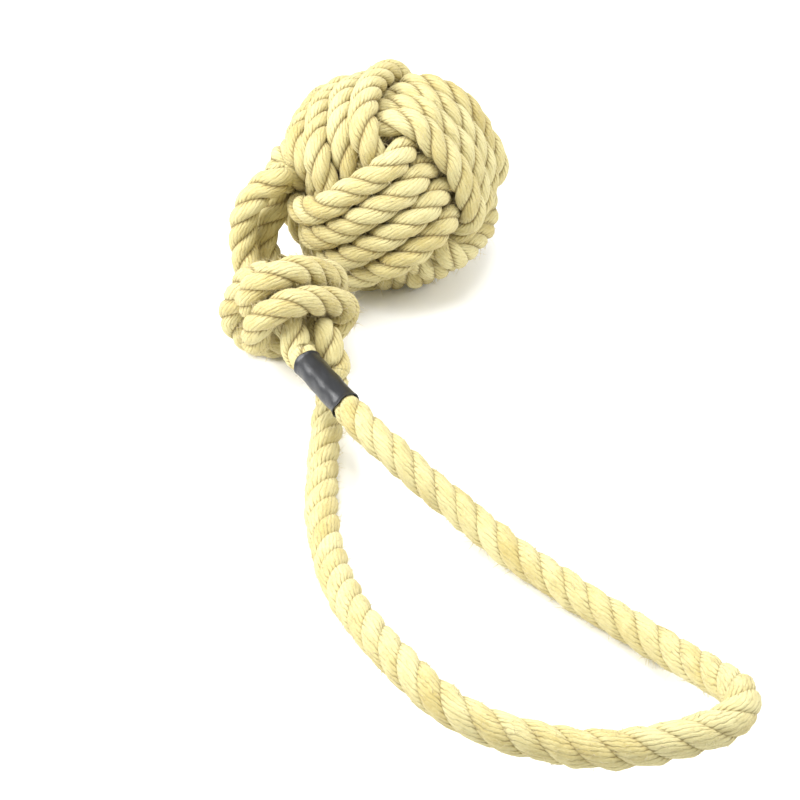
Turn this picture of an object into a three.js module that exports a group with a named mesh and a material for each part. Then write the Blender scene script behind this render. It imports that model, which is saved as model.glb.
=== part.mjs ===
// A rope dog toy: a monkey's fist wound round a hidden core ball, a throat of two rope strands,
// a stopper knot tied with the doubled rope, and a long hand loop with a shrunk sleeve on it.
// It lies on the ground as it was dropped. Millimetres, +Z up.
import * as THREE from "three";

const point = (x, y, z) => new THREE.Vector3(x, y, z);

// Rope: its free diameter, the width and thickness it is pressed to in the winding and the knot,
// and the share by which the knot's strands lie looser than that.
const ropeDiameter = 12;
const windingWidth = 11.6;
const windingThickness = 9.8;
const knotRopeDiameter = 11.6;
const knotSpread = 1.1;
const turnGap = 1.3;
const jointGap = 0.3;
const knotEndRun = 6;
const throatEndRun = 4;
const mouthEndRun = 3;

// Ball: its outer diameter over the winding, where it lies and how it is turned there.
const ballDiameter = 93.6;
const ballSpot = point(-5.8, 598.4, 0);
const ballTumbleDegrees = [33, 47.1, 138.99];
const footDepth = 2.6;
const coreFit = 0.5;
const coreColumns = 28;
const coreRows = 16;

// Winding: three bands square to each other, each of four turns, and how they settle on the core.
const wrapNames = ["fist_wrap_first", "fist_wrap_second", "fist_wrap_third"];
const wrapTurns = 4;
const stepsPerTurn = 24;
const settlePointsPerTurn = 56;
const settleRounds = 300;
const settlePull = 0.8;
const settleFadeShare = 0.25;
const settleRestShare = 0.08;
const ownTurnShare = 1.6;
const crossedFromDegrees = 38;
const crossedOverDegrees = 26;
const turnShiftShare = 0.11;

// Stopper knot: an overhand knot in the doubled rope, pulled tight, and where it lies.
const knotCentre = point(-46.5, 533.7, 26.6);
const knotAxis = point(0.15, -0.95, 0.27);
const knotRollDegrees = 82;
const knotStartSpan = 11;
const knotStartDepth = 7;
const knotStartReach = 2.05;
const knotTailReach = 46;
const knotLength = 340;
const knotPoints = 100;
const knotRounds = 900;
const knotPull = 0.25;
const knotTightenShare = 0.7;
const knotRestShare = 0.1;
const knotOwnTurnShare = 1.8;
const knotBackCut = 24;
const knotFrontCut = 19;
const strandStep = 6;
const coilSides = 6;

// Throat: both strands leave the winding side by side near one of its corners, and arch to the knot.
const throatWay = point(-0.977, -0.159, 0.139);
const throatBeside = point(0.105, 0.799, -0.594);
const throatFrom = 41;
const throatKeepsTo = 60;
const throatPoints = 12;
const throatSpacing = 12.4;
const throatArches = [
  [
    point(-48.6, 580.1, 55), point(-55.8, 577.4, 52), point(-61.2, 574.9, 45.5), point(-63.7, 573.9, 36.5),
    point(-63.8, 571.5, 27.5), point(-62, 567.5, 19.5), point(-56.5, 565.2, 12.6),
  ],
  [
    point(-48, 588.6, 40.3), point(-52.7, 585.6, 34), point(-56, 582.8, 26.5), point(-56, 580.5, 18.5),
    point(-50.5, 577.8, 13), point(-43, 572.8, 12),
  ],
];

// Hand loop: the middle of the rope, from the upper strand at the knot's mouth round to the lower.
const loopPoints = [
  point(-36.7, 500.8, 26.4),
  point(-34.5, 497.4, 26.2),
  point(-26.7, 485.4, 25.4),
  point(-18.9, 473.4, 24.6),
  point(-12.8, 464.8, 23.2),
  point(-4, 455.4, 20.8),
  point(5.5, 447.3, 16.5),
  point(18.4, 437.2, 11.5),
  point(30, 426.5, 8),
  point(42.1, 414.6, 6.4),
  point(54.6, 402.9, 6.2),
  point(66.6, 391.5, 6.2),
  point(78.8, 380.5, 6.8),
  point(89.6, 368, 9.5),
  point(98, 355.7, 14.5),
  point(103.2, 343.6, 21),
  point(103, 333.1, 25.5),
  point(97.5, 326.3, 26.6),
  point(88, 322.5, 26),
  point(71.2, 319.4, 24),
  point(52.9, 320.2, 22.5),
  point(34.8, 325, 22.3),
  point(18, 333.1, 22.6),
  point(3.6, 348.7, 22),
  point(-9.9, 369.9, 19),
  point(-20.6, 397, 12.5),
  point(-25.6, 420.7, 7.5),
  point(-28, 438, 6.2),
  point(-28.3, 455, 6.2),
  point(-28.2, 471.1, 6.4),
  point(-27.4, 482.8, 8.5),
  point(-26, 492, 12.5),
  point(-25.2, 500.6, 17.5),
];
const loopSteps = 62;
const loopSides = 10;

// Sleeve: a shrunk tube that squeezes the hand loop's rope near the knot.
const sleeveFrom = 4.1;
const sleeveLength = 28;
const sleeveWall = 0.7;
const sleeveBore = 9.8;
const sleeveSteps = 7;
const sleeveSides = 16;
const swellRun = 5;

const degrees = Math.PI / 180;
const ease = (t) => {
  const share = Math.min(1, Math.max(0, t));
  return share * share * (3 - 2 * share);
};

// The winding's centrelines, in the ball's own axes. Rope lies on rope without passing through it.
function settleWinding(kept) {
  const width = windingWidth;
  const thickness = windingThickness;
  const inner = ballDiameter / 2 - 1.5 * thickness;
  const outer = ballDiameter / 2 - 0.5 * thickness;
  const last = wrapTurns * settlePointsPerTurn;
  const segment = (2 * Math.PI * (inner + outer) / 2) / settlePointsPerTurn;
  const place = [];
  const order = [];
  const band = [];
  for (let axis = 0; axis < 3; axis += 1) {
    for (let i = 0; i <= last; i += 1) {
      const turn = i / settlePointsPerTurn;
      const whole = Math.min(wrapTurns - 1, Math.floor(turn));
      const part = turn - whole;
      const angle = -Math.PI / 2 + part * 2 * Math.PI;
      const row = (m) => (m - (wrapTurns - 1) / 2) * width;
      let aside = row(whole);
      if (part < turnShiftShare && whole > 0) {
        aside = row(whole - 1) + width * (0.5 + 0.5 * ease(part / turnShiftShare));
      }
      if (part > 1 - turnShiftShare && whole < wrapTurns - 1) {
        aside = row(whole) + width * (0.5 - 0.5 * ease((1 - part) / turnShiftShare));
      }
      const tilt = Math.atan2(Math.abs(Math.sin(angle)), Math.abs(Math.cos(angle))) / degrees;
      const level = outer + (inner - outer) * ease((tilt - crossedFromDegrees) / crossedOverDegrees);
      const reach = Math.sqrt(Math.max(level * level - aside * aside, 1));
      const spot = [0, 0, 0];
      spot[axis] = reach * Math.cos(angle);
      spot[(axis + 1) % 3] = reach * Math.sin(angle);
      spot[(axis + 2) % 3] = aside;
      place.push(spot);
      order.push(i);
      band.push(axis);
    }
  }
  const flat = width / thickness - 1;
  for (let round = 0; round < settleRounds; round += 1) {
    const left = 1 - round / settleRounds - settleRestShare;
    const fade = Math.min(1, Math.max(0, left / settleFadeShare));
    const before = place.map((p) => [...p]);
    place.forEach((p, i) => {
      if (order[i] === 0 || order[i] === last) {
        return;
      }
      for (let k = 0; k < 3; k += 1) {
        p[k] += settlePull * fade * ((before[i - 1][k] + before[i + 1][k]) / 2 - before[i][k]);
      }
    });
    for (let pass = 0; pass < 2; pass += 1) {
      for (let i = 0; i < place.length; i += 1) {
        const a = place[i];
        for (let j = i + 1; j < place.length; j += 1) {
          const b = place[j];
          const dx = b[0] - a[0];
          const dy = b[1] - a[1];
          const dz = b[2] - a[2];
          if (Math.abs(dx) > width || Math.abs(dy) > width || Math.abs(dz) > width) {
            continue;
          }
          if (band[i] === band[j] && (order[j] - order[i]) * segment < ownTurnShare * width) {
            continue;
          }
          const mx = a[0] + b[0];
          const my = a[1] + b[1];
          const mz = a[2] + b[2];
          const size = Math.hypot(mx, my, mz);
          const lift = ((dx * mx + dy * my + dz * mz) / size) * flat;
          const apart = Math.hypot(
            dx + (mx / size) * lift,
            dy + (my / size) * lift,
            dz + (mz / size) * lift,
          );
          if (apart >= width) {
            continue;
          }
          const push = (width - apart) / apart / 2;
          a[0] -= dx * push;
          a[1] -= dy * push;
          a[2] -= dz * push;
          b[0] += dx * push;
          b[1] += dy * push;
          b[2] += dz * push;
        }
      }
    }
    const clear = (width + ropeDiameter) / 2;
    place.forEach((p) => {
      kept.forEach((q) => {
        const gap = [p[0] - q.x, p[1] - q.y, p[2] - q.z];
        const apart = Math.hypot(...gap);
        if (apart < clear) {
          gap.forEach((value, k) => {
            p[k] += (value * (clear - apart)) / apart;
          });
        }
      });
      const size = Math.hypot(...p);
      if (size < inner) {
        p.forEach((value, k) => {
          p[k] = (value * inner) / size;
        });
      }
    });
  }
  let least = width;
  for (let i = 0; i < place.length; i += 1) {
    for (let j = i + 1; j < place.length; j += 1) {
      if (band[i] !== band[j] || (order[j] - order[i]) * segment >= ownTurnShare * width) {
        const a = point(...place[i]);
        const b = point(...place[j]);
        const way = a.clone().add(b).normalize();
        const gap = b.clone().sub(a);
        least = Math.min(least, gap.addScaledVector(way, gap.dot(way) * flat).length());
      }
    }
  }
  console.log("winding: least gap between turns", (least - width + turnGap).toFixed(2), "mm");
  return wrapNames.map((name, axis) => place.filter((p, i) => band[i] === axis).map((p) => point(...p)));
}

// The doubled overhand knot's two centrelines, in its own axes: in at -Z, out at +Z.
function tightenKnot() {
  const line = [point(0, 0, -knotTailReach - knotEndRun), point(0, 0, -knotTailReach)];
  const shares = 2 * knotPoints;
  for (let i = 0; i <= shares; i += 1) {
    const t = knotStartReach * ((2 * i) / shares - 1);
    line.push(point(
      -knotStartSpan * (t ** 3 - 3 * t),
      knotStartSpan * (t ** 4 - 4 * t ** 2 + 2),
      knotStartDepth * (t ** 5 - 10 * t),
    ));
  }
  line.push(point(0, 0, knotTailReach), point(0, 0, knotTailReach + knotEndRun));
  const even = spread(line, knotPoints - 1);
  const strands = [[], []];
  let normal = null;
  even.forEach((p, i) => {
    const along = even[Math.min(knotPoints - 1, i + 1)].clone().sub(even[Math.max(0, i - 1)]).normalize();
    if (normal === null) {
      normal = point(1, 0, 0);
    }
    normal.addScaledVector(along, -normal.dot(along)).normalize();
    strands[0].push(p.clone().addScaledVector(normal, knotRopeDiameter / 2));
    strands[1].push(p.clone().addScaledVector(normal, -knotRopeDiameter / 2));
  });
  const startLengths = strands.map((strand) => lengthOf(strand));
  const ends = strands.map((strand) => strand.map((p) => p.z));
  const held = (i) => i < 2 || i > knotPoints - 3;
  const shift = (a, b, away) => {
    const gap = b.clone().sub(a);
    const size = gap.length();
    gap.multiplyScalar((away - size) / size / 2);
    a.sub(gap);
    b.add(gap);
  };
  for (let round = 0; round < knotRounds; round += 1) {
    const tight = Math.min(1, round / (knotRounds * knotTightenShare));
    const rest = Math.min(1, Math.max(0, (1 - round / knotRounds) / knotRestShare - 0.5));
    strands.forEach((strand, k) => {
      const step = (startLengths[k] + (knotLength - startLengths[k]) * tight) / (knotPoints - 1);
      for (let pass = 0; pass < 4 && rest > 0; pass += 1) {
        for (let i = 1; i < knotPoints; i += 1) {
          shift(strand[i - 1], strand[i], step);
        }
      }
      const before = strand.map((p) => p.clone());
      strand.forEach((p, i) => {
        if (!held(i)) {
          const middle = before[i - 1].clone().add(before[i + 1]).multiplyScalar(0.5);
          p.lerp(middle, knotPull * rest);
        }
      });
    });
    strands[0].forEach((p, i) => shift(p, strands[1][i], knotRopeDiameter));
    const near = knotRopeDiameter * knotRopeDiameter;
    for (let pass = 0; pass < 3; pass += 1) {
      eachPair(strands, (a, b) => {
        if (a.distanceToSquared(b) < near) {
          shift(a, b, knotRopeDiameter);
        }
      });
    }
    strands.forEach((strand, k) => strand.forEach((p, i) => {
      if (held(i)) {
        p.z = ends[k][i];
      }
    }));
  }
  let least = knotRopeDiameter;
  const kept = (p) => p.z > -knotBackCut && p.z < knotFrontCut;
  eachPair(strands, (a, b) => {
    if (kept(a) && kept(b)) {
      least = Math.min(least, a.distanceTo(b));
    }
  });
  console.log("knot: least gap between strands", (least - knotRopeDiameter + turnGap).toFixed(2), "mm");
  return strands.map((strand) => cut(strand, -knotBackCut, knotFrontCut));
}

// Every pair of points of two strands, but for those close by along the same strand.
function eachPair(strands, work) {
  const own = knotOwnTurnShare * knotRopeDiameter;
  const at = strands.map((strand) => {
    let passed = 0;
    return strand.map((p, i) => {
      passed += i > 0 ? p.distanceTo(strand[i - 1]) : 0;
      return passed;
    });
  });
  [[0, 0], [0, 1], [1, 1]].forEach(([first, second]) => {
    for (let i = 0; i < knotPoints; i += 1) {
      for (let j = first === second ? i + 1 : 0; j < knotPoints; j += 1) {
        if (first !== second || at[first][j] - at[first][i] >= own) {
          work(strands[first][i], strands[second][j]);
        }
      }
    }
  });
}

function lengthOf(line) {
  return line.slice(1).reduce((sum, p, i) => sum + p.distanceTo(line[i]), 0);
}

// Points at even distances along a line, both ends kept.
function spread(line, steps) {
  const total = lengthOf(line);
  const out = [line[0].clone()];
  let at = 0;
  let passed = 0;
  for (let i = 1; i < steps; i += 1) {
    const want = (total * i) / steps;
    while (passed + line[at].distanceTo(line[at + 1]) < want) {
      passed += line[at].distanceTo(line[at + 1]);
      at += 1;
    }
    const share = (want - passed) / line[at].distanceTo(line[at + 1]);
    out.push(line[at].clone().lerp(line[at + 1], share));
  }
  out.push(line[line.length - 1].clone());
  return out;
}

// The stretch of a strand between two heights in the knot's own axes, counted in from both ends.
function cut(line, low, high) {
  const from = line.findIndex((p) => p.z > low);
  const to = line.length - 1 - [...line].reverse().findIndex((p) => p.z < high);
  const before = line[from - 1];
  const first = before.clone().lerp(line[from], (low - before.z) / (line[from].z - before.z));
  const last = line[to].clone().lerp(line[to + 1], (high - line[to].z) / (line[to + 1].z - line[to].z));
  return [first, ...line.slice(from, to + 1), last];
}

const curve = (points) => new THREE.CatmullRomCurve3(points, false, "centripetal");

// Directions along a line, at each of its points.
function directions(line) {
  return line.map((p, i) => {
    const next = line[Math.min(line.length - 1, i + 1)];
    const past = line[Math.max(0, i - 1)];
    return next.clone().sub(past).normalize();
  });
}

// Rings of corners square to a line. `size` gives half the width and half the thickness at a point,
// `face` the way that the thickness looks there, `ends` the way of the line at its two ends.
function rings(line, sides, size, face, ends) {
  const along = directions(line);
  if (ends) {
    [along[0], along[along.length - 1]] = ends;
  }
  let up = null;
  return line.map((p, i) => {
    if (face) {
      up = face(p, i).clone();
    } else if (up === null) {
      up = Math.abs(along[i].z) > 0.9 ? point(1, 0, 0) : point(0, 0, 1);
    }
    up.addScaledVector(along[i], -up.dot(along[i])).normalize();
    const side = up.clone().cross(along[i]);
    const [halfWidth, halfThickness] = size(p, i);
    return Array.from({ length: sides }, (_, k) => {
      const angle = (k / sides) * 2 * Math.PI;
      return p.clone()
        .addScaledVector(side, Math.cos(angle) * halfWidth)
        .addScaledVector(up, Math.sin(angle) * halfThickness);
    });
  });
}

// A closed skin over rings, one after another. An open pair of ends is capped, a bored one joined.
function skin(ringList, bore) {
  const sides = ringList[0].length;
  const faces = [];
  const corners = [];
  const wall = (list, inward) => {
    const base = corners.length;
    list.forEach((ring) => corners.push(...ring));
    for (let i = 0; i + 1 < list.length; i += 1) {
      for (let k = 0; k < sides; k += 1) {
        const a = base + i * sides + k;
        const b = base + i * sides + ((k + 1) % sides);
        const quad = [[a, b, b + sides], [a, b + sides, a + sides]];
        quad.forEach((q) => faces.push(inward ? [q[0], q[2], q[1]] : q));
      }
    }
    return [base, base + (list.length - 1) * sides];
  };
  const [outerStart, outerEnd] = wall(ringList, false);
  if (bore) {
    const [boreStart, boreEnd] = wall(bore, true);
    for (let k = 0; k < sides; k += 1) {
      const n = (k + 1) % sides;
      faces.push([outerStart + k, boreStart + k, boreStart + n], [outerStart + k, boreStart + n, outerStart + n]);
      faces.push([outerEnd + k, outerEnd + n, boreEnd + n], [outerEnd + k, boreEnd + n, boreEnd + k]);
    }
  } else {
    for (let k = 1; k + 1 < sides; k += 1) {
      faces.push([outerStart, outerStart + k + 1, outerStart + k]);
      faces.push([outerEnd, outerEnd + k, outerEnd + k + 1]);
    }
  }
  const geometry = new THREE.BufferGeometry();
  const flat = new Float32Array(corners.length * 3);
  corners.forEach((p, i) => p.toArray(flat, i * 3));
  geometry.setAttribute("position", new THREE.BufferAttribute(flat, 3));
  geometry.setIndex(faces.flat());
  geometry.computeVertexNormals();
  return geometry;
}

const startWay = (line) => line[1].clone().sub(line[0]).normalize();
const endWay = (line) => line[line.length - 1].clone().sub(line[line.length - 2]).normalize();
const round = (diameter) => () => [diameter / 2, diameter / 2];
const group = new THREE.Group();
group.name = "rope_dog_toy";
const looks = {
  rope: { color: 0xd8c796, roughness: 0.95, metalness: 0 },
  sleeve: { color: 0x17181a, roughness: 0.4, metalness: 0 },
  core: { color: 0x9b7a4f, roughness: 0.7, metalness: 0 },
};
function add(name, geometry, look) {
  const mesh = new THREE.Mesh(geometry, new THREE.MeshStandardMaterial(looks[look]));
  mesh.name = name;
  group.add(mesh);
  return mesh;
}

// Ball. It stands on the flat of its lowest turns.
const tumble = new THREE.Euler(...ballTumbleDegrees.map((value) => value * degrees), "XYZ");
const untumble = new THREE.Quaternion().setFromEuler(tumble).invert();
const throatOut = throatWay.clone().normalize();
const throatSide = throatBeside.clone().addScaledVector(throatOut, -throatBeside.dot(throatOut)).normalize();
const throatStarts = [1, -1].map((sign) => throatOut.clone().multiplyScalar(throatFrom)
  .addScaledVector(throatSide, (sign * throatSpacing) / 2));
const throatKept = throatStarts.flatMap((start) => Array.from({ length: throatPoints }, (_, i) => start.clone()
  .addScaledVector(throatOut, ((throatKeepsTo - throatFrom) * i) / (throatPoints - 1))
  .applyQuaternion(untumble)));
const wrapRings = settleWinding(throatKept).map((line) => rings(
  spread(line.map((p) => p.applyEuler(tumble)), wrapTurns * stepsPerTurn),
  coilSides,
  () => [(windingWidth - turnGap) / 2, (windingThickness - turnGap) / 2],
  (p) => p.clone().normalize(),
));
const lowest = Math.min(...wrapRings.flat(2).map((p) => p.z));
const ballCentre = ballSpot.clone().setZ(-lowest - footDepth);
wrapRings.flat(2).forEach((p) => {
  p.add(ballCentre);
  p.z = Math.max(p.z, 0);
});
wrapRings.forEach((list, i) => add(wrapNames[i], skin(list), "rope"));
const coreRadius = ballDiameter / 2 - 2 * windingThickness + coreFit;
const core = new THREE.SphereGeometry(coreRadius, coreColumns, coreRows);
core.translate(...ballCentre.toArray());
add("core_ball", core, "core");
const throatRoots = throatStarts.map((start) => start.clone().add(ballCentre));

// Knot.
const alongKnot = knotAxis.clone().normalize();
const acrossKnot = alongKnot.clone().cross(point(0, 0, 1)).normalize();
acrossKnot.applyAxisAngle(alongKnot, knotRollDegrees * degrees);
const knotBasis = new THREE.Matrix4().makeBasis(acrossKnot, alongKnot.clone().cross(acrossKnot), alongKnot);
const knotStrands = tightenKnot().map((line) => line.map((p) => (
  p.clone().multiplyScalar(knotSpread).applyMatrix4(knotBasis).add(knotCentre)
)));
knotStrands.forEach((line, i) => {
  const steps = Math.round(lengthOf(line) / strandStep);
  const list = rings(
    spread(curve(line).getPoints(line.length * 4), steps),
    coilSides,
    round(knotRopeDiameter * knotSpread - turnGap),
    null,
    [startWay(line), endWay(line)],
  );
  list.flat().forEach((p) => {
    p.z = Math.max(p.z, 0);
  });
  add(["knot_strand_left", "knot_strand_right"][i], skin(list), "rope");
});

// A free stretch between two ends, square to both.
function joint(name, from, fromWay, via, to, toWay, run) {
  const start = from.clone().addScaledVector(fromWay, jointGap);
  const end = to.clone().addScaledVector(toWay, -jointGap);
  const line = curve([
    start,
    start.clone().addScaledVector(fromWay, run),
    ...via,
    end.clone().addScaledVector(toWay, -run),
    end,
  ]).getPoints(80);
  const steps = Math.max(6, Math.round(lengthOf(line) / (ropeDiameter / 2)));
  const size = round(ropeDiameter - turnGap);
  add(name, skin(rings(spread(line, steps), loopSides, size, null, [fromWay, toWay])), "rope");
}

knotStrands.forEach((line, i) => {
  joint(
    ["throat_strand_front", "throat_strand_back"][i],
    throatRoots[1 - i],
    throatOut,
    throatArches[i],
    line[0],
    startWay(line),
    throatEndRun,
  );
});

// Hand loop and its sleeve.
const loopLine = spread(curve(loopPoints).getPoints(600), 600);
const loopLength = lengthOf(loopLine);
const squeezed = (sleeveBore - 2 * jointGap) / 2;
const loopSize = (share) => {
  const at = share * loopLength;
  const outside = Math.max(sleeveFrom - at, at - sleeveFrom - sleeveLength);
  const radius = squeezed + (ropeDiameter / 2 - squeezed) * ease(outside / swellRun);
  return [radius, radius];
};
const stations = [];
const march = (from, to, steps) => {
  for (let i = 0; i < steps; i += 1) {
    stations.push(from + ((to - from) * i) / steps);
  }
};
march(0, sleeveFrom, 3);
march(sleeveFrom, sleeveFrom + sleeveLength, sleeveSteps);
march(sleeveFrom + sleeveLength, sleeveFrom + sleeveLength + swellRun, 3);
march(sleeveFrom + sleeveLength + swellRun, loopLength, loopSteps);
stations.push(loopLength);
const onLoop = (at) => {
  const index = (at / loopLength) * (loopLine.length - 1);
  const low = Math.min(loopLine.length - 2, Math.floor(index));
  return loopLine[low].clone().lerp(loopLine[low + 1], index - low);
};
const loopRings = rings(
  stations.map(onLoop),
  loopSides,
  (_, i) => loopSize(stations[i] / loopLength),
  null,
  [startWay(loopPoints), endWay(loopPoints)],
);
add("hand_loop", skin(loopRings), "rope");
const sleeveLine = stations.filter((at) => at >= sleeveFrom && at <= sleeveFrom + sleeveLength).map(onLoop);
add("shrunk_sleeve", skin(
  rings(sleeveLine, sleeveSides, round(sleeveBore + 2 * sleeveWall)),
  rings(sleeveLine, sleeveSides, round(sleeveBore)),
), "sleeve");
[loopPoints[0], loopPoints[loopPoints.length - 1]].forEach((end, i) => {
  const line = knotStrands[i];
  const ahead = i === 0 ? loopPoints[1] : loopPoints[loopPoints.length - 2];
  joint(
    ["mouth_strand_left", "mouth_strand_right"][i],
    line[line.length - 1],
    endWay(line),
    [],
    end,
    ahead.clone().sub(end).normalize(),
    mouthEndRun,
  );
});

// The origin is the middle of the bounding box, at the ground.
const box = new THREE.Box3().setFromObject(group, true);
const middle = box.getCenter(point(0, 0, 0)).setZ(box.min.z).negate();
group.children.forEach((mesh) => mesh.geometry.translate(...middle.toArray()));
console.log("laid down at", middle.toArray().map((value) => value.toFixed(2)).join(", "));

export default group;
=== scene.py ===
import bpy
import math
import numpy as np
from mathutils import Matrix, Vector


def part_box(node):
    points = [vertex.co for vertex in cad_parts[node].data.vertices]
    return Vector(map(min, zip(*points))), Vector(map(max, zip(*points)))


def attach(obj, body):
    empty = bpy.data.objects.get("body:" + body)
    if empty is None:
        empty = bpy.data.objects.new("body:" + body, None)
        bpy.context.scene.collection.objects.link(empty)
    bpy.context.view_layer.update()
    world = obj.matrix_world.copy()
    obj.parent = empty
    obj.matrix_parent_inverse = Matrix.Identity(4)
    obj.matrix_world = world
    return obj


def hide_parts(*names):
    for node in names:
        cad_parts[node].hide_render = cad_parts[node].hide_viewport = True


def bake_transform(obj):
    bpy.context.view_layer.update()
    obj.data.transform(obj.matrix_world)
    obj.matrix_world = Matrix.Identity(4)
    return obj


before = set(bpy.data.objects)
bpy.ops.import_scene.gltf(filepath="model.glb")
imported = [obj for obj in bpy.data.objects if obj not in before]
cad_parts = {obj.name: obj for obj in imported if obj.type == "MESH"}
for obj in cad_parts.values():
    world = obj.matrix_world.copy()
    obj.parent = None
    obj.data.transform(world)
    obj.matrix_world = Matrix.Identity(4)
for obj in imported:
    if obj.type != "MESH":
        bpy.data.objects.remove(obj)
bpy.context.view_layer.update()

# The camera, as found from the photograph's perspective, and where the ball's core stands. Both are in
# the photograph's frame: millimetres, with the camera over the origin and looking along y.
LENS = 76.5
SENSOR = 36
CAMERA_UP = 425.9
CAMERA_DOWN_DEGREES = 40.0
CORE_AT = np.array([-5.8, 598.4])

# The hand loop's middle line in the photograph's frame, from the knot's mouth round and back to it.
LOOP_MM = [
    (-36.7, 500.8, 26.4), (-34.5, 497.4, 26.2), (-26.7, 485.4, 25.4), (-18.9, 473.4, 24.6),
    (-12.8, 464.8, 23.2), (-4, 455.4, 20.8), (5.5, 447.3, 16.5), (18.4, 437.2, 11.5),
    (30, 426.5, 8), (42.1, 414.6, 6.4), (54.6, 402.9, 6.2), (66.6, 391.5, 6.2),
    (78.8, 380.5, 6.8), (89.6, 368, 9.5), (98, 355.7, 14.5), (103.2, 343.6, 21),
    (103, 333.1, 25.5), (97.5, 326.3, 26.6), (88, 322.5, 26), (71.2, 319.4, 24),
    (52.9, 320.2, 22.5), (34.8, 325, 22.3), (18, 333.1, 22.6), (3.6, 348.7, 22),
    (-9.9, 369.9, 19), (-20.6, 397, 12.5), (-25.6, 420.7, 7.5), (-28, 438, 6.2),
    (-28.3, 455, 6.2), (-28.2, 471.1, 6.4), (-27.4, 482.8, 8.5), (-26, 492, 12.5),
    (-25.2, 500.6, 17.5),
]

low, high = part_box("core_ball")
BALL = np.array((low + high) / 2)
# The way from the photograph's frame to the part's, in metres as everything from here on.
SHIFT = np.array([BALL[0] - CORE_AT[0] / 1000, BALL[1] - CORE_AT[1] / 1000, 0.0])

# The rope. Its lay is the length in which a strand goes round it once.
ROPE = 0.012
LAY = 0.0277
LOOP_LAY = 0.0305
LAY_EASES_OVER = 0.09
STEP = 0.001
LOWEST = 0.0001

# The sides of the tubes in the CAD, for the tightened turns and for the short strands, and how their
# corners are welded, their flat faces told from bends, and their end caps from other flat patches.
COIL_SIDES = 6
STRAND_SIDES = 10
WELDS_PER_METRE = 1e5
FLAT_COSINE = 0.99995
ROUND_RATIO = 1.35

# How a band's end carries on under the next turn: forward and down.
DIVE = ((0.004, 0.0015), (0.007, 0.0055))

# The rope's thickness, as a share of its full one, in the knot and under the sleeve, and how it changes
# there: over a number of rows, and over a length that starts a quarter of it inside the sleeve's end.
KNOT_SQUEEZE = 0.965
KNOT_SQUEEZE_ROWS = 17
SLEEVE_SQUEEZE = 0.80
SLEEVE_SQUEEZE_OVER = 0.004
SLEEVE_SQUEEZE_START = 0.25
# The same for the ball's bands, along the ball's skin and through it.
BAND_WIDE = 0.985
BAND_THICK = 0.86

# The section of one strand. Its crown covers a third of the rope and runs on a little way under its
# neighbours, so the grooves close. Two root corners shut it off near the rope's middle. The offset
# moves each strand on to a part of the material's noises of its own.
SIDES = 16
STRAND_OVERLAP = 1.08
HALF_THIRD = np.radians(60)
GROOVE_POWER = 2.4
BALL_GROOVE = 0.25
LOOP_GROOVE = 0.17
GROOVE_EASES_OVER = 0.03
ROOT_RADIUS = 0.22
ROOT_ANGLE = np.radians(40)
ROOT_REACH = 1.5
STRAND_HALF = 0.0066
STRAND_LIFT = 0.27
STRAND_OFFSET = 0.37

# Unevenness: how much, and over what length.
SHAKE, SHAKE_LENGTH = 0.06, 0.008
SWELL, SWELL_LENGTH = 0.03, 0.007
DENT, DENT_LENGTH = 0.025, 0.0025
ROPE_SEED = 3
BAND_SEED = 20

# The sleeve: its place on the hand loop, its size, and how it shows the strands and shrinks unevenly.
SLEEVE_FROM = 0.0041
SLEEVE_LENGTH = 0.028
SLEEVE_RADIUS = 0.00548
SLEEVE_WALL = 0.00055
SLEEVE_LOBE = 0.00009
SLEEVE_WRINKLE = 0.00009
SLEEVE_FLARE = 0.00035
SLEEVE_FLARE_SHARE = 0.05
SLEEVE_SKEWS = (0.0004, 0.0002)
SLEEVE_ROWS = 90
SLEEVE_SIDES = 72

# Stray fibres. Lengths and thicknesses follow a gamma distribution, of which the shape and scale are given.
FIBRE_STEPS = 2
FIBRE_SHORTEST, FIBRE_LONGEST = 0.0006, 0.0042
FIBRE_LENGTHS = (1.8, 0.0009)
FIBRE_THINNEST, FIBRE_THICKEST = 0.00004, 0.00015
FIBRE_THICKNESSES = (1.2, 0.00003)
FIBRE_OUTWARD = (0.15, 0.9)
FIBRE_ASIDE = 0.45
FIBRE_CURL = 0.5
FIBRE_TIP = 0.3
FIBRE_SINK = 0.0002
FIBRE_LOWEST = 0.00015
CROWN_FROM = 0.9

# Colours, as linear light.
ROPE_PALE = (0.72, 0.65, 0.335, 1)
ROPE_STRAW = (0.55, 0.445, 0.165, 1)
# The rope's painted shade: the brown that the grooves and the gaps between yarns are darkened towards.
ROPE_PAINTED_SHADE = (0.22, 0.145, 0.038, 1)
FIBRE_DARK = (0.46, 0.36, 0.155, 1)
FIBRE_PALE = (0.80, 0.71, 0.43, 1)
SLEEVE_DARK = (0.007, 0.008, 0.010, 1)
SLEEVE_PALE = (0.020, 0.021, 0.024, 1)
WOOD_DARK = (0.42, 0.30, 0.15, 1)
WOOD_PALE = (0.56, 0.42, 0.22, 1)
# The floor's own colour, and the lighter one in which it is seen, so that the backdrop stays pale.
FLOOR_LIT = (0.94, 0.945, 0.95, 1)
FLOOR_SEEN = (1.06, 1.065, 1.07, 1)

# The yarns in a strand: how far apart they are, and how far round it they go for each length along it.
YARN_PITCH = 0.0016
YARN_LEAN = 1.0

# The scales of the rope's noises, per metre: across a strand, and along it. All are read in one slice.
PATTERN_SLICE = 0.13
YARN_WAVER = (420, 330)
YARN_LOOSENESS = (520, 160)
FIBRE_GRAIN = (4200, 260)
BLOTCHES = (300, 90)
PATCHES = (45, 22)
SPECKS = (1600, 900)

# The sky's light, from low and near the camera to high and behind the toy, and the sky as it is seen.
SKY_SLOPE = (0, 0.35, 0.94)
SKY_FROM = 0.3
SKY_TO = 1.0
SKY_DARK = 0.46
SKY_BRIGHT = 1.04
BACKDROP = 0.81

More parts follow.
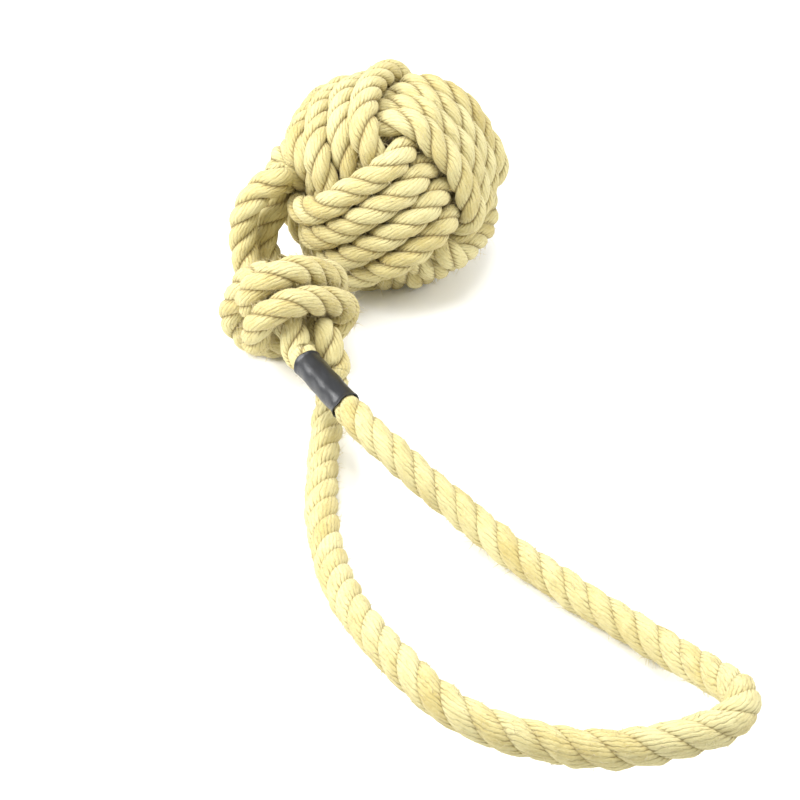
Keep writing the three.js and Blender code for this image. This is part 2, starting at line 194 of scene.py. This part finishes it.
# Lamps: name, place, size and power. They all point at one spot a little over the floor.
LAMPS = [
    ("top", (-0.02, 0.02, 0.6), 0.35, 2.0),
    ("right", (0.45, -0.02, 0.36), 0.3, 1.3),
    ("left", (-0.45, -0.04, 0.36), 0.3, 3.1),
]
LAMPS_AIM = Vector((0, 0, 0.02))
FLOOR_HALF = 15


def unit(v):
    return v / np.maximum(np.linalg.norm(v, axis=-1, keepdims=True), 1e-12)


def length_at(line):
    """The length along a line at each of its points."""
    return np.r_[0, np.cumsum(np.linalg.norm(np.diff(line, axis=0), axis=1))]


def even(line):
    """A line sampled again at even steps."""
    at = length_at(line)
    count = max(4, int(round(at[-1] / STEP)))
    want = np.linspace(0, at[-1], count + 1)
    return np.stack([np.interp(want, at, line[:, k]) for k in range(3)], axis=1)


def through(points):
    """A smooth line through points, sampled at even steps: a natural cubic spline by chord length."""
    p = np.asarray(points, float)
    t = length_at(p)
    n = len(p)
    h = np.diff(t)
    a = np.zeros((n, n))
    b = np.zeros((n, 3))
    a[0, 0] = a[-1, -1] = 1
    for i in range(1, n - 1):
        a[i, i - 1:i + 2] = h[i - 1], 2 * (h[i - 1] + h[i]), h[i]
        b[i] = 6 * ((p[i + 1] - p[i]) / h[i] - (p[i] - p[i - 1]) / h[i - 1])
    m = np.linalg.solve(a, b)
    fine = np.linspace(0, t[-1], max(8, int(t[-1] / STEP * 4)))
    k = np.clip(np.searchsorted(t, fine, side="right") - 1, 0, n - 2)
    x = (fine - t[k])[:, None]
    y = (t[k + 1] - fine)[:, None]
    hk = h[k][:, None]
    line = (m[k] * y ** 3 + m[k + 1] * x ** 3) / (6 * hk)
    line += (p[k] / hk - m[k] * hk / 6) * y + (p[k + 1] / hk - m[k + 1] * hk / 6) * x
    return even(line)


def dive(tip, back):
    """Points past a line's tip that carry on and down into the ball, as a rope end does under a turn."""
    ahead = unit(tip - back)
    inward = unit(BALL - tip)
    return [tip + ahead * forward + inward * down for forward, down in DIVE]


def tucked(line, start=True, end=True):
    """A line with one or both of its ends tucked into the ball."""
    before = dive(line[0], line[1])[::-1] if start else []
    after = dive(line[-1], line[-2]) if end else []
    return np.array(before + list(line) + after)


def towards(line, point):
    """A line turned so that it ends near a point."""
    if np.linalg.norm(line[0] - point) < np.linalg.norm(line[-1] - point):
        return line[::-1]
    return line


def welded(mesh):
    """A mesh's separate corners, and which of them each of its vertices is."""
    key = {}
    spots = []
    index = np.zeros(len(mesh.vertices), int)
    for i, vertex in enumerate(mesh.vertices):
        co = np.array(vertex.co, float)
        k = tuple(np.round(co * WELDS_PER_METRE).astype(int))
        if k not in key:
            key[k] = len(spots)
            spots.append(co)
        index[i] = key[k]
    return np.array(spots), index


def neighbours(mesh, index):
    """For each corner, the corners that an edge joins it to."""
    near = {}
    for edge in mesh.edges:
        a, b = index[edge.vertices[0]], index[edge.vertices[1]]
        if a != b:
            near.setdefault(a, set()).add(b)
            near.setdefault(b, set()).add(a)
    return near


def flat_patches(mesh, index, spots):
    """The corners of each patch of faces that lie in one plane."""
    faces = [[index[v] for v in f.vertices] for f in mesh.polygons]
    normals = [np.cross(spots[f[1]] - spots[f[0]], spots[f[2]] - spots[f[0]]) for f in faces]
    normals = unit(np.array(normals))
    by_edge = {}
    for i, f in enumerate(faces):
        for a, b in zip(f, f[1:] + f[:1]):
            by_edge.setdefault((min(a, b), max(a, b)), []).append(i)
    group = list(range(len(faces)))

    def root(i):
        while group[i] != i:
            group[i] = group[group[i]]
            i = group[i]
        return i

    for pair in by_edge.values():
        if len(pair) == 2 and normals[pair[0]] @ normals[pair[1]] > FLAT_COSINE:
            group[root(pair[0])] = root(pair[1])
    patches = {}
    for i, f in enumerate(faces):
        patches.setdefault(root(i), set()).update(f)
    return patches.values()


def is_round(corners):
    reach = np.linalg.norm(corners - corners.mean(0), axis=1)
    return reach.max() < ROUND_RATIO * reach.min()


def node_line(name, sides):
    """The middle line of a CAD tube: its end cap's middle, then that of each ring of corners after it."""
    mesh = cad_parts[name].data
    spots, index = welded(mesh)
    near = neighbours(mesh, index)
    caps = [p for p in flat_patches(mesh, index, spots) if len(p) == sides and is_round(spots[list(p)])]
    if not caps:
        raise RuntimeError(f"{name}: no end cap found")
    ring = set(caps[0])
    seen = set(ring)
    line = []
    while ring:
        if len(ring) != sides:
            raise RuntimeError(f"{name}: a ring of {len(ring)} corners")
        line.append(spots[list(ring)].mean(0))
        ring = set().union(*(near[v] for v in ring)) - seen
        seen |= ring
    return np.array(line)


def carried_frames(line):
    """Side and up directions that are carried along a line without twist."""
    along = unit(np.gradient(line, axis=0))
    up = np.zeros_like(line)
    u = np.array([0, 0, 1.0]) if abs(along[0, 2]) < 0.9 else np.array([1.0, 0, 0])
    for i, t in enumerate(along):
        u = u - t * (u @ t)
        u = u / np.linalg.norm(u)
        up[i] = u
    return np.cross(up, along), up


def facing_frames(line, face):
    """Side and up directions along a line, with up as near to a given direction as it can be."""
    along = unit(np.gradient(line, axis=0))
    up = unit(face - along * np.sum(face * along, axis=1, keepdims=True))
    return np.cross(up, along), up


def smoothed(share):
    return share * share * (3 - 2 * share)


def wander(count, size, seed):
    """A slow random walk of unit height, smooth over a given length."""
    rng = np.random.default_rng(seed)
    knots = max(4, int(count * STEP / size) + 4)
    values = rng.normal(0, 1, knots)
    x = np.linspace(0, knots - 1.001, count)
    k = x.astype(int)
    f = smoothed(x - k)
    return values[k] * (1 - f) + values[np.minimum(k + 1, knots - 1)] * f


def laid_strands(line, frames, wide, thick, deep, twist, seed):
    """Three strands laid round a line: for each its rings of corners, their radius, and its length so far.

    wide and thick scale the section, deep is the depth of its grooves, and twist turns it.
    """
    side, up = frames
    n = len(line)
    spread = np.linspace(-STRAND_OVERLAP, STRAND_OVERLAP, SIDES - 2)
    crown = 1 - deep[:, None] * np.abs(spread[None, :]) ** GROOVE_POWER
    angle = np.r_[spread * HALF_THIRD, ROOT_ANGLE, -ROOT_ANGLE]
    radius = np.hstack([crown, np.full((n, 2), ROOT_RADIUS)])
    on_crown = np.r_[np.maximum(1 - spread ** 2, 0), 0, 0][None, :]
    strands = []
    for k in range(3):
        shake = SHAKE * wander(n, SHAKE_LENGTH, seed * 10 + k)
        swell = 1 + SWELL * wander(n, SWELL_LENGTH, seed * 10 + 4 + k)
        dent = 1 + DENT * wander(n, DENT_LENGTH, seed * 10 + 7 + k)
        out = radius * (1 - on_crown * (1 - (swell * dent)[:, None])) * ROPE / 2
        middle = twist + k * 2 * np.pi / 3
        phase = middle[:, None] + angle[None, :] + shake[:, None] * on_crown
        x = out * np.cos(phase) * wide[:, None]
        y = out * np.sin(phase) * thick[:, None]
        rings = line[:, None, :] + side[:, None, :] * x[..., None] + up[:, None, :] * y[..., None]
        rings[..., 2] = np.maximum(rings[..., 2], LOWEST)
        centre = line + side * (np.cos(middle) * STRAND_LIFT * ROPE)[:, None]
        centre = centre + up * (np.sin(middle) * STRAND_LIFT * ROPE)[:, None]
        strands.append((rings, radius, length_at(centre) + k * STRAND_OFFSET))
    return strands


def tube_faces(rows, base):
    """The walls and both end caps of one strand whose corners start at a given number."""
    i = np.arange(rows - 1)[:, None] * SIDES
    j = np.arange(SIDES)[None, :]
    j2 = (j + 1) % SIDES
    walls = np.stack([i + j, i + j2, i + SIDES + j2, i + SIDES + j], axis=2).reshape(-1, 4) + base
    start = base + np.arange(SIDES)[::-1]
    end = base + (rows - 1) * SIDES + np.arange(SIDES)
    return walls.tolist() + [start.tolist(), end.tolist()]


def stretch(strands, first, last):
    """The strands from one row to another, as corners, faces and what the rope material reads."""
    rows = last + 1 - first
    spread = np.linspace(-STRAND_OVERLAP, STRAND_OVERLAP, SIDES - 2)
    reach = np.r_[spread, ROOT_REACH, -ROOT_REACH] * STRAND_HALF
    cut = [(rings[first:last + 1], radius[first:last + 1], span[first:last + 1])
           for rings, radius, span in strands]
    faces = []
    for k in range(len(cut)):
        faces.extend(tube_faces(rows, k * rows * SIDES))
    return {
        "verts": np.concatenate([rings.reshape(-1, 3) for rings, _, _ in cut]),
        "faces": faces,
        "around": np.tile(reach, rows * len(cut)),
        "along": np.concatenate([np.repeat(span, SIDES) for _, _, span in cut]),
        "groove": np.concatenate([radius.reshape(-1) for _, radius, _ in cut]),
    }


def make(name, verts, faces, material, attributes=None):
    mesh = bpy.data.meshes.new(name)
    mesh.from_pydata(verts.tolist(), [], faces)
    mesh.update()
    for key, values in (attributes or {}).items():
        layer = mesh.attributes.new(key, "FLOAT", "POINT")
        layer.data.foreach_set("value", np.asarray(values, np.float32))
    mesh.polygons.foreach_set("use_smooth", [True] * len(mesh.polygons))
    obj = bpy.data.objects.new(name, mesh)
    bpy.context.scene.collection.objects.link(obj)
    mesh.materials.append(material)
    return obj


def rope_object(name, data, material):
    carried = {key: data[key] for key in ("around", "along", "groove")}
    obj = make(name + "_rope", data["verts"], data["faces"], material, carried)
    return obj


def new_material(name, settings):
    """A material with its node tree and its shader, set as given."""
    material = bpy.data.materials.new(name)
    material.use_nodes = True
    shader = material.node_tree.nodes["Principled BSDF"]
    for label, value in settings.items():
        shader.inputs[label].default_value = value
    return material, material.node_tree, shader


def read(tree, label):
    """A value that the mesh carries at each corner."""
    node = tree.nodes.new("ShaderNodeAttribute")
    node.attribute_name = label
    return node.outputs["Fac"]


def calc(tree, kind, *values):
    node = tree.nodes.new("ShaderNodeMath")
    node.operation = kind
    for socket, value in zip(node.inputs, values):
        if isinstance(value, (int, float)):
            socket.default_value = value
        else:
            tree.links.new(value, socket)
    return node.outputs[0]


def weighted_sum(tree, *shares):
    """The sum of values, each times its weight."""
    total = None
    for value, weight in shares:
        term = calc(tree, "MULTIPLY", value, weight)
        total = term if total is None else calc(tree, "ADD", total, term)
    return total


def plain_noise(tree, scale, detail, rough=0.5, place=None):
    noise = tree.nodes.new("ShaderNodeTexNoise")
    noise.inputs["Scale"].default_value = scale
    noise.inputs["Detail"].default_value = detail
    noise.inputs["Roughness"].default_value = rough
    if place is not None:
        tree.links.new(place, noise.inputs["Vector"])
    return noise.outputs["Fac"]


def noise_over(tree, place, scales, detail, rough=0.5):
    """Noise with its own scale per metre across a strand and along it."""
    mapping = tree.nodes.new("ShaderNodeMapping")
    mapping.inputs["Scale"].default_value = (*scales, 1)
    tree.links.new(place, mapping.inputs["Vector"])
    return plain_noise(tree, 1.0, detail, rough, mapping.outputs[0])


def eased_step(tree, value, low, high, start=0.0, end=1.0):
    """start below low and end above high, with a smooth step between them."""
    node = tree.nodes.new("ShaderNodeMapRange")
    node.interpolation_type = "SMOOTHSTEP"
    node.inputs["From Min"].default_value = low
    node.inputs["From Max"].default_value = high
    node.inputs["To Min"].default_value = start
    node.inputs["To Max"].default_value = end
    tree.links.new(value, node.inputs["Value"])
    return node.outputs["Result"]


def ramp(tree, value, dark, pale, dark_at=0.0, pale_at=1.0):
    tone = tree.nodes.new("ShaderNodeValToRGB")
    tone.color_ramp.elements[0].position = dark_at
    tone.color_ramp.elements[0].color = dark
    tone.color_ramp.elements[1].position = pale_at
    tone.color_ramp.elements[1].color = pale
    tree.links.new(value, tone.inputs["Fac"])
    return tone.outputs["Color"]


def mixed_colours(tree, share, first, second):
    """A colour on the way from one to another; each is a fixed colour or another node's."""
    mix = tree.nodes.new("ShaderNodeMix")
    mix.data_type = "RGBA"
    tree.links.new(share, mix.inputs["Factor"])
    for label, colour in (("A", first), ("B", second)):
        if isinstance(colour, tuple):
            mix.inputs[label].default_value = colour
        else:
            tree.links.new(colour, mix.inputs[label])
    return mix.outputs["Result"]


def add_bump(tree, shader, height, strength, distance):
    bump = tree.nodes.new("ShaderNodeBump")
    bump.inputs["Strength"].default_value = strength
    bump.inputs["Distance"].default_value = distance
    tree.links.new(height, bump.inputs["Height"])
    tree.links.new(bump.outputs["Normal"], shader.inputs["Normal"])


def yarn_pattern(tree, across, place):
    """1 on the yarns' crowns and 0 between them, with yarns that waver and that stand out more or less."""
    waver = calc(tree, "MULTIPLY", noise_over(tree, place, YARN_WAVER, 2), 3.2)
    turn = calc(tree, "ADD", calc(tree, "MULTIPLY", across, math.pi / YARN_PITCH), waver)
    loose = eased_step(tree, noise_over(tree, place, YARN_LOOSENESS, 2), 0.25, 0.75)
    sharpness = calc(tree, "ADD", calc(tree, "MULTIPLY", loose, 0.7), 0.15)
    return calc(tree, "POWER", calc(tree, "ABSOLUTE", calc(tree, "SINE", turn)), sharpness)


def painted_groove_shade(tree, groove, yarn):
    """Painted shade: 1 on the crowns, less between two yarns, and least where two yarns dip into a strand's
    groove.
    """
    height = calc(tree, "ADD", groove, calc(tree, "MULTIPLY", calc(tree, "SUBTRACT", yarn, 0.8), 0.2))
    depth = calc(tree, "ADD", calc(tree, "MULTIPLY", eased_step(tree, height, 0.70, 0.94), 0.8), 0.2)
    valley = calc(tree, "MULTIPLY", eased_step(tree, yarn, 0.02, 0.5), 0.22)
    return calc(tree, "MULTIPLY", depth, calc(tree, "ADD", valley, 0.78))


def rope_material():
    """Twisted natural fibre: pale crowns, straw patches, painted brown shade in the grooves and between
    yarns, and yarns across each strand.
    """
    material, tree, shader = new_material("rope_pale", {
        "Roughness": 0.95, "Specular IOR Level": 0.12, "Sheen Weight": 0.25, "Sheen Roughness": 0.6,
        "Sheen Tint": (1.0, 0.95, 0.78, 1)})
    around, along, groove = read(tree, "around"), read(tree, "along"), read(tree, "groove")
    across = calc(tree, "ADD", around, calc(tree, "MULTIPLY", along, YARN_LEAN))
    flat = tree.nodes.new("ShaderNodeCombineXYZ")
    tree.links.new(across, flat.inputs[0])
    tree.links.new(along, flat.inputs[1])
    flat.inputs[2].default_value = PATTERN_SLICE
    place = flat.outputs[0]
    yarn = yarn_pattern(tree, across, place)
    fibres = noise_over(tree, place, FIBRE_GRAIN, 3, 0.6)
    blotch = noise_over(tree, place, BLOTCHES, 2)
    patch = noise_over(tree, place, PATCHES, 1)
    speck = noise_over(tree, place, SPECKS, 2)
    mottle = weighted_sum(tree, (fibres, 0.42), (blotch, 0.38), (patch, 0.65), (speck, 0.30))
    crown = ramp(tree, mottle, ROPE_STRAW, ROPE_PALE, 0.66, 1.0)
    light = painted_groove_shade(tree, groove, yarn)
    # Painted shade: the colour goes towards the shade colour in the grooves and between yarns.
    tree.links.new(mixed_colours(tree, light, ROPE_PAINTED_SHADE, crown), shader.inputs["Base Color"])
    relief = weighted_sum(tree, (yarn, 0.6), (fibres, 0.45), (speck, 0.5))
    add_bump(tree, shader, relief, 0.9, 0.0005)
    return material


def fibre_material():
    material, tree, shader = new_material("stray_fibre", {"Roughness": 0.7, "Sheen Weight": 0.2})
    colour = ramp(tree, plain_noise(tree, 300, 2), FIBRE_DARK, FIBRE_PALE)
    tree.links.new(colour, shader.inputs["Base Color"])
    return material


def sleeve_material():
    material, tree, shader = new_material("sleeve_black", {"Roughness": 0.3, "Specular IOR Level": 0.5})
    noise = plain_noise(tree, 900, 4)
    tree.links.new(ramp(tree, noise, SLEEVE_DARK, SLEEVE_PALE), shader.inputs["Base Color"])
    add_bump(tree, shader, noise, 0.15, 0.0003)
    return material


def wood_material():
    material, tree, shader = new_material("core_wood", {"Roughness": 0.6})
    wave = tree.nodes.new("ShaderNodeTexWave")
    wave.inputs["Scale"].default_value = 60
    wave.inputs["Distortion"].default_value = 6
    tree.links.new(ramp(tree, wave.outputs["Fac"], WOOD_DARK, WOOD_PALE), shader.inputs["Base Color"])
    return material


def seen_directly(tree):
    """1 for rays from the camera, or by way of a mirror or glass; 0 for the light that falls on things."""
    path = tree.nodes.new("ShaderNodeLightPath")
    seen = path.outputs["Is Camera Ray"]
    for label in ("Is Glossy Ray", "Is Transmission Ray"):
        seen = calc(tree, "MAXIMUM", seen, path.outputs[label])
    return seen


def floor_material():
    material, tree, shader = new_material("floor_white", {"Roughness": 0.8})
    colour = mixed_colours(tree, seen_directly(tree), FLOOR_LIT, FLOOR_SEEN)
    tree.links.new(colour, shader.inputs["Base Color"])
    return material


def rope_stretches(loop):
    """The rope's stretches in order, from the ball by way of the knot and the hand loop back to the ball.

    Each has its node's name and its line. With them come the throat's two ends, at the ball and the knot.
    """
    mouth_left = towards(node_line("mouth_strand_left", STRAND_SIDES), loop[0])
    knot_left = towards(node_line("knot_strand_left", COIL_SIDES), mouth_left[0])
    throat_front = towards(node_line("throat_strand_front", STRAND_SIDES), knot_left[0])
    mouth_right = towards(node_line("mouth_strand_right", STRAND_SIDES), loop[-1])
    knot_right = towards(node_line("knot_strand_right", COIL_SIDES), mouth_right[0])
    throat_back = towards(node_line("throat_strand_back", STRAND_SIDES), knot_right[0])
    stretches = [
        ("throat_strand_front", tucked(throat_front, end=False)),
        ("knot_strand_left", knot_left),
        ("mouth_strand_left", mouth_left),
        ("hand_loop", loop[::4]),
        ("mouth_strand_right", mouth_right[::-1]),
        ("knot_strand_right", knot_right[::-1]),
        ("throat_strand_back", tucked(throat_back[::-1], start=False)),
    ]
    return stretches, tuple(throat_back[0]), tuple(throat_back[-1])


def joined(stretches):
    """One smooth line through all stretches, and the lengths along it between which each of them lies.

    Two neighbours meet halfway across the gap between them.
    """
    chain = list(stretches[0][1])
    borders = [0, len(chain) - 1]
    for _, line in stretches[1:]:
        chain[-1] = (chain[-1] + line[0]) / 2
        chain.extend(line[1:])
        borders.append(len(chain) - 1)
    along_chain = length_at(np.array(chain))
    rope = through(chain)
    total = length_at(rope)[-1]
    cuts = [along_chain[b] / along_chain[-1] * total for b in borders]
    return rope, {name: span for (name, _), span in zip(stretches, zip(cuts, cuts[1:]))}


def rising_inside(at, span, over):
    """0 outside a span, rising to 1 over a given length at each of its ends."""
    return np.clip((at - span[0]) / over, 0, 1) * np.clip((span[1] - at) / over, 0, 1)


def squeezed(at, spans):
    """The rope's thickness as a share of its full one: less under the sleeve and in the knot."""
    start = spans["hand_loop"][0] + SLEEVE_FROM
    away = np.maximum(start - at, at - start - SLEEVE_LENGTH)
    free = smoothed(np.clip(away / SLEEVE_SQUEEZE_OVER + SLEEVE_SQUEEZE_START, 0, 1))
    by_sleeve = SLEEVE_SQUEEZE + (1 - SLEEVE_SQUEEZE) * free
    by_knot = np.ones(len(at))
    for name in ("knot_strand_left", "knot_strand_right"):
        by_knot[(at > spans[name][0]) & (at < spans[name][1])] = KNOT_SQUEEZE
    by_knot = np.pad(by_knot, KNOT_SQUEEZE_ROWS // 2, mode="edge")
    by_knot = np.convolve(by_knot, np.ones(KNOT_SQUEEZE_ROWS) / KNOT_SQUEEZE_ROWS, mode="valid")
    return by_sleeve * by_knot


def row_at(at, length):
    return int(np.argmin(np.abs(at - length)))


def ball_bands(material):
    """The ball's winding: three bands of pressed rope, each by its node's name."""
    bands = {}
    for k, name in enumerate(["fist_wrap_first", "fist_wrap_second", "fist_wrap_third"]):
        line = through(tucked(node_line(name, COIL_SIDES)))
        n = len(line)
        turns = 2 * np.pi * length_at(line) / LAY + k
        strands = laid_strands(line, facing_frames(line, unit(line - BALL)), np.full(n, BAND_WIDE),
                               np.full(n, BAND_THICK), np.full(n, BALL_GROOVE), turns, BAND_SEED + k)
        data = stretch(strands, 0, n - 1)
        obj = rope_object(name, data, material)
        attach(obj, "ball")
        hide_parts(name)
        bands[name] = (obj, data, line)
    return bands


def fibre_walls(count):
    """The faces of a number of three-sided fibres: the walls of each step, and both end caps."""
    per = (FIBRE_STEPS + 1) * 3
    base = (np.arange(count) * per)[:, None]
    walls = []
    for i in range(FIBRE_STEPS):
        for k in range(3):
            k2 = (k + 1) % 3
            walls.append(base + np.array([i * 3 + k, i * 3 + k2, i * 3 + 3 + k2, i * 3 + 3 + k]))
    ends = np.concatenate([base + np.array([2, 1, 0]), base + per - 3 + np.array([0, 1, 2])])
    return np.concatenate(walls).tolist() + ends.tolist()


def fuzz(name, data, line, count, seed, material, bare):
    """Short stray fibres that stand off a rope's crowns, except in the rows that bare gives."""
    rng = np.random.default_rng(seed)
    row = (np.arange(len(data["verts"])) // SIDES) % len(line)
    free = (data["groove"] > CROWN_FROM) & ((row < bare[0]) | (row > bare[1]))
    pick = rng.choice(np.nonzero(free)[0], count)
    spot = data["verts"][pick]
    row = row[pick]
    out = unit(spot - line[row])
    ahead = unit(line[np.minimum(row + 1, len(line) - 1)] - line[np.maximum(row - 1, 0)])
    aside = np.cross(out, ahead)
    length = np.minimum(FIBRE_SHORTEST + rng.gamma(*FIBRE_LENGTHS, count), FIBRE_LONGEST)[:, None]
    lean = out * rng.uniform(*FIBRE_OUTWARD, (count, 1)) + ahead * rng.uniform(-1, 1, (count, 1))
    lean = unit(lean + aside * rng.normal(0, FIBRE_ASIDE, (count, 1)))
    curl = unit(rng.normal(0, 1, (count, 3)))
    thick = FIBRE_THINNEST + rng.gamma(*FIBRE_THICKNESSES, (count, 1, 1))
    thick = np.minimum(thick, FIBRE_THICKEST)
    share = np.linspace(0, 1, FIBRE_STEPS + 1)[None, :, None]
    points = (spot - out * FIBRE_SINK)[:, None, :] + lean[:, None, :] * length[:, None] * share
    points = points + curl[:, None, :] * length[:, None] * FIBRE_CURL * share ** 2
    points[..., 2] = np.maximum(points[..., 2], FIBRE_LOWEST)
    thick = thick * np.linspace(1, FIBRE_TIP, FIBRE_STEPS + 1)[None, :, None]
    a = unit(np.cross(lean, curl))[:, None, :]
    b = unit(np.cross(lean, a[:, 0]))[:, None, :]
    thirds = [k * 2 * math.pi / 3 for k in range(3)]
    corners = [points + (a * math.cos(t) + b * math.sin(t)) * thick for t in thirds]
    obj = make(name, np.stack(corners, 2).reshape(-1, 3), fibre_walls(count), material)
    return obj


def add_fibres(pieces, material):
    """Stray fibres on the pieces that each move with one body. They keep off the rows under the sleeve."""
    under_sleeve = (int(SLEEVE_FROM / STEP) - 3, int((SLEEVE_FROM + SLEEVE_LENGTH) / STEP) + 3)
    first_row = (0, 0)
    for name, count, seed, owner, bare in [
        ("fist_wrap_first", 5200, 65, "ball", first_row),
        ("fist_wrap_second", 5200, 66, "ball", first_row),
        ("fist_wrap_third", 5200, 65, "ball", first_row),
        ("knot_strand_left", 3000, 66, "knot", first_row),
        ("knot_strand_right", 3000, 67, "knot", first_row),
        ("hand_loop", 4000, 59, "handle", under_sleeve),
    ]:
        obj, data, line = pieces[name]
        hairs = fuzz("fibres_" + name, data, line, count, seed, material, bare)
        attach(hairs, owner)


def between(values, where):
    """Values at places between rows."""
    k = where.astype(int)
    f = where - k
    if values.ndim > 1:
        f = f[:, None]
    return values[k] * (1 - f) + values[k + 1] * f


def sleeve_ring(rope, share, rows, theta, inset):
    """One ring of the sleeve's wall. Its ends are cut a little askew, and the strands show through."""
    line, side, up, twist = rope
    skew = SLEEVE_SKEWS[0] * np.sin(2 * theta + 0.7) + SLEEVE_SKEWS[1] * np.sin(5 * theta)
    where = rows[0] + (rows[1] - rows[0]) * share + (skew / STEP) * (1 - 2 * share)
    where = np.clip(where, 0, len(line) - 1.001)
    lobes = np.cos(3 * (theta - between(twist, where)))
    wrinkle = np.sin(5 * theta + 2.5 * share + 1.2 * np.sin(share * 7)) * np.sin(3.1 * share + theta)
    flare = max(0, 1 - share / SLEEVE_FLARE_SHARE) + max(0, 1 - (1 - share) / SLEEVE_FLARE_SHARE)
    radius = SLEEVE_RADIUS + SLEEVE_LOBE * lobes + SLEEVE_WRINKLE * wrinkle + SLEEVE_FLARE * flare - inset
    across = between(side, where) * (np.cos(theta) * radius)[:, None]
    upward = between(up, where) * (np.sin(theta) * radius)[:, None]
    return between(line, where) + across + upward


def sleeve_faces():
    """The outer wall, the inner wall and the rims that join them at both ends."""
    faces = []
    inner = SLEEVE_ROWS * SLEEVE_SIDES
    top = (SLEEVE_ROWS - 1) * SLEEVE_SIDES
    for base in (0, inner):
        for r in range(SLEEVE_ROWS - 1):
            row = base + r * SLEEVE_SIDES
            for k in range(SLEEVE_SIDES):
                k2 = (k + 1) % SLEEVE_SIDES
                quad = [row + k, row + k2, row + SLEEVE_SIDES + k2, row + SLEEVE_SIDES + k]
                faces.append(quad if base == 0 else quad[::-1])
    for k in range(SLEEVE_SIDES):
        k2 = (k + 1) % SLEEVE_SIDES
        faces.append([k2, k, inner + k, inner + k2])
        faces.append([top + k, top + k2, inner + top + k2, inner + top + k])
    return faces


def add_sleeve(rope, start):
    """Shrunk plastic that shows the strands under it, from a given length along the rope."""
    at = length_at(rope[0])
    rows = row_at(at, start), row_at(at, start + SLEEVE_LENGTH)
    theta = np.linspace(0, 2 * np.pi, SLEEVE_SIDES, endpoint=False)
    rings = [sleeve_ring(rope, r / (SLEEVE_ROWS - 1), rows, theta, inset)
             for inset in (0, SLEEVE_WALL) for r in range(SLEEVE_ROWS)]
    sleeve = make("sleeve_skin", np.concatenate(rings), sleeve_faces(), sleeve_material())
    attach(sleeve, "handle")
    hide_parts("shrunk_sleeve")


def add_camera():
    data = bpy.data.cameras.new("camera")
    data.lens = LENS
    data.sensor_width = SENSOR
    data.clip_start = 0.01
    camera = bpy.data.objects.new("camera", data)
    bpy.context.scene.collection.objects.link(camera)
    camera.location = SHIFT + np.array([0, 0, CAMERA_UP / 1000])
    camera.rotation_euler = (math.radians(90 - CAMERA_DOWN_DEGREES), 0, 0)
    bpy.context.scene.camera = camera


def add_floor():
    mesh = bpy.data.meshes.new("floor")
    corners = [(x * FLOOR_HALF, y * FLOOR_HALF, 0) for x, y in ((-1, -1), (1, -1), (1, 1), (-1, 1))]
    mesh.from_pydata(corners, [], [(0, 1, 2, 3)])
    ground = bpy.data.objects.new("floor", mesh)
    bpy.context.scene.collection.objects.link(ground)
    mesh.materials.append(floor_material())


def add_lamp(name, place, size, power):
    data = bpy.data.lights.new(name, "AREA")
    data.shape = "DISK"
    data.size = size
    data.energy = power
    obj = bpy.data.objects.new(name, data)
    bpy.context.scene.collection.objects.link(obj)
    obj.location = place
    obj.rotation_euler = (LAMPS_AIM - Vector(place)).to_track_quat("-Z", "Y").to_euler()


def add_sky():
    """A soft sky that is brighter above and behind the toy, and an even backdrop where it is seen."""
    world = bpy.data.worlds.new("world")
    world.use_nodes = True
    tree = world.node_tree
    background = tree.nodes["Background"]
    background.inputs["Color"].default_value = (1, 1, 1, 1)
    way = tree.nodes.new("ShaderNodeTexCoord")
    slope = tree.nodes.new("ShaderNodeVectorMath")
    slope.operation = "DOT_PRODUCT"
    slope.inputs[1].default_value = SKY_SLOPE
    tree.links.new(way.outputs["Generated"], slope.inputs[0])
    level = eased_step(tree, slope.outputs["Value"], SKY_FROM, SKY_TO, SKY_DARK, SKY_BRIGHT)
    shown = tree.nodes.new("ShaderNodeMix")
    shown.inputs["B"].default_value = BACKDROP
    tree.links.new(seen_directly(tree), shown.inputs["Factor"])
    tree.links.new(level, shown.inputs["A"])
    tree.links.new(shown.outputs["Result"], background.inputs["Strength"])
    bpy.context.scene.world = world


rope_pale = rope_material()

# The running rope: throat, knot, mouth and hand loop in one line, so that its twist carries on.
loop = through(np.array(LOOP_MM) / 1000 + SHIFT)
stretches, throat_from, throat_to = rope_stretches(loop)
rope, spans = joined(stretches)
at = length_at(rope)
side, up = carried_frames(rope)
scale = squeezed(at, spans)
lay = LAY + (LOOP_LAY - LAY) * rising_inside(at, spans["hand_loop"], LAY_EASES_OVER)
deep = BALL_GROOVE + (LOOP_GROOVE - BALL_GROOVE) * rising_inside(at, spans["hand_loop"], GROOVE_EASES_OVER)
twist = 2 * np.pi * np.r_[0, np.cumsum(np.diff(at) / lay[1:])]
strands = laid_strands(rope, (side, up), scale, scale, deep, twist, ROPE_SEED)
pieces = {}
for name, span in spans.items():
    first, last = row_at(at, span[0]), row_at(at, span[1])
    data = stretch(strands, first, last)
    pieces[name] = (rope_object(name, data, rope_pale), data, rope[first:last + 1])

pieces.update(ball_bands(rope_pale))

for name, owner in [("knot_strand_left", "knot"), ("knot_strand_right", "knot"), ("hand_loop", "handle")]:
    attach(pieces[name][0], owner)
    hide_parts(name)
for name in ("throat_strand_back", "throat_strand_front"):
    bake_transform(pieces[name][0])
    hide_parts(name)
for name, at_knot, at_loop in [("mouth_strand_left", 0, -1), ("mouth_strand_right", -1, 0)]:
    obj, _, line = pieces[name]
    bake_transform(obj)
    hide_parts(name)

add_fibres(pieces, fibre_material())
add_sleeve((rope, side, up, twist), spans["hand_loop"][0] + SLEEVE_FROM)

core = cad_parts["core_ball"]
core.data.materials.clear()
core.data.materials.append(wood_material())

add_camera()
add_floor()
for name, place, size, power in LAMPS:
    add_lamp(name, place, size, power)
add_sky()
bpy.context.scene.view_settings.view_transform = "Standard"
